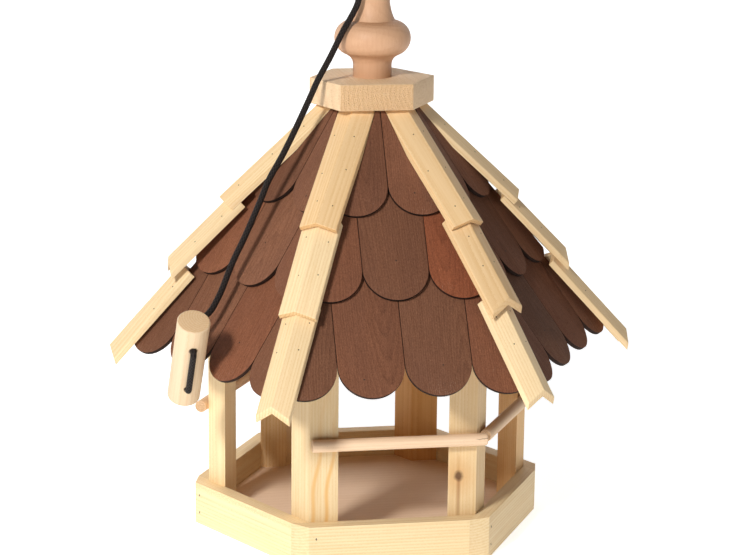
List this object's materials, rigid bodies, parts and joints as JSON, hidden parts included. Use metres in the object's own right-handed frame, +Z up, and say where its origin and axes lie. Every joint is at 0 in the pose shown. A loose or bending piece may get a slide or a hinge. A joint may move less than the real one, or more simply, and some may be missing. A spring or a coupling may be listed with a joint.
{
  "type": "hanging bird feeder",
  "caption": "Hexagonal wooden tray feeder with posts, perches, a shingled pyramid roof, a turned finial, and a hanging cord that ends in a toggle.",
  "frame": {"origin": "centre of the tray's underside, on the ground", "axes": "+Z up along the finial, -Y out of the front face, +X to the right seen from the front"},
  "size_m": [0.5276, 0.4612, 0.5658],
  "materials": {
    "plywood_floor": "sanded plywood",
    "pale_pine": "planed, unfinished",
    "dowel_wood": "turned, unfinished",
    "panel_wood": "rough sawn",
    "stained_shingle": "brown stain, matt",
    "moulding_wood": "planed, unfinished",
    "turned_wood": "turned, sanded",
    "steel": "dull",
    "black_cord": "braided polyester"
  },
  "bodies": {
    "feeder": {"floor_panel": "plywood_floor", "top_ring": "pale_pine", "cap_block": "moulding_wood", "finial": "turned_wood", "rim_board_front": "pale_pine", "rim_board_front_right": "pale_pine", "rim_board_back_right": "pale_pine", "rim_board_back": "pale_pine", "rim_board_back_left": "pale_pine", "rim_board_front_left": "pale_pine", "post_front_right": "pale_pine", "post_right": "pale_pine", "post_back_right": "pale_pine", "post_back_left": "pale_pine", "post_left": "pale_pine", "post_front_left": "pale_pine", "perch_front": "dowel_wood", "perch_front_right": "dowel_wood", "perch_back": "dowel_wood", "perch_back_left": "dowel_wood", "roof_panel_front": "panel_wood", "roof_panel_front_right": "panel_wood", "roof_panel_back_right": "panel_wood", "roof_panel_back": "panel_wood", "roof_panel_back_left": "panel_wood", "roof_panel_front_left": "panel_wood", "shingles_top_front": "stained_shingle", "shingles_top_front_right": "stained_shingle", "shingles_top_back_right": "stained_shingle", "shingles_top_back": "stained_shingle", "shingles_top_back_left": "stained_shingle", "shingles_top_front_left": "stained_shingle", "shingles_middle_front": "stained_shingle", "shingles_middle_front_right": "stained_shingle", "shingles_middle_back_right": "stained_shingle", "shingles_middle_back": "stained_shingle", "shingles_middle_back_left": "stained_shingle", "shingles_middle_front_left": "stained_shingle", "shingles_bottom_front": "stained_shingle", "shingles_bottom_front_right": "stained_shingle", "shingles_bottom_back_right": "stained_shingle", "shingles_bottom_back": "stained_shingle", "shingles_bottom_back_left": "stained_shingle", "shingles_bottom_front_left": "stained_shingle", "hip_caps_front_right": "moulding_wood", "hip_caps_right": "moulding_wood", "hip_caps_back_right": "moulding_wood", "hip_caps_back_left": "moulding_wood", "hip_caps_left": "moulding_wood", "hip_caps_front_left": "moulding_wood", "rim_nails": "steel", "perch_nails": "steel", "anchor_washer": "steel", "anchor_knot": "black_cord", "cord_stub": "black_cord"},
    "cord": {"cord_run": "black_cord"},
    "toggle": {"toggle": "dowel_wood", "cord_lacing": "black_cord", "end_knot": "black_cord"}
  },
  "joints": [
    {"name": "cord_lift", "type": "hinge", "parent": "feeder", "child": "cord", "pos_m": [-0.0052, -0.0052, 0.562], "axis": [-0.5213, 0.8534, 0], "range_deg": [0, 145]},
    {"name": "toggle_tilt", "type": "hinge", "parent": "cord", "child": "toggle", "pos_m": [-0.1932, -0.1201, 0.2361], "axis": [-0.9982, -0.0528, 0.0299], "range_deg": [0, 75]}
  ]
}
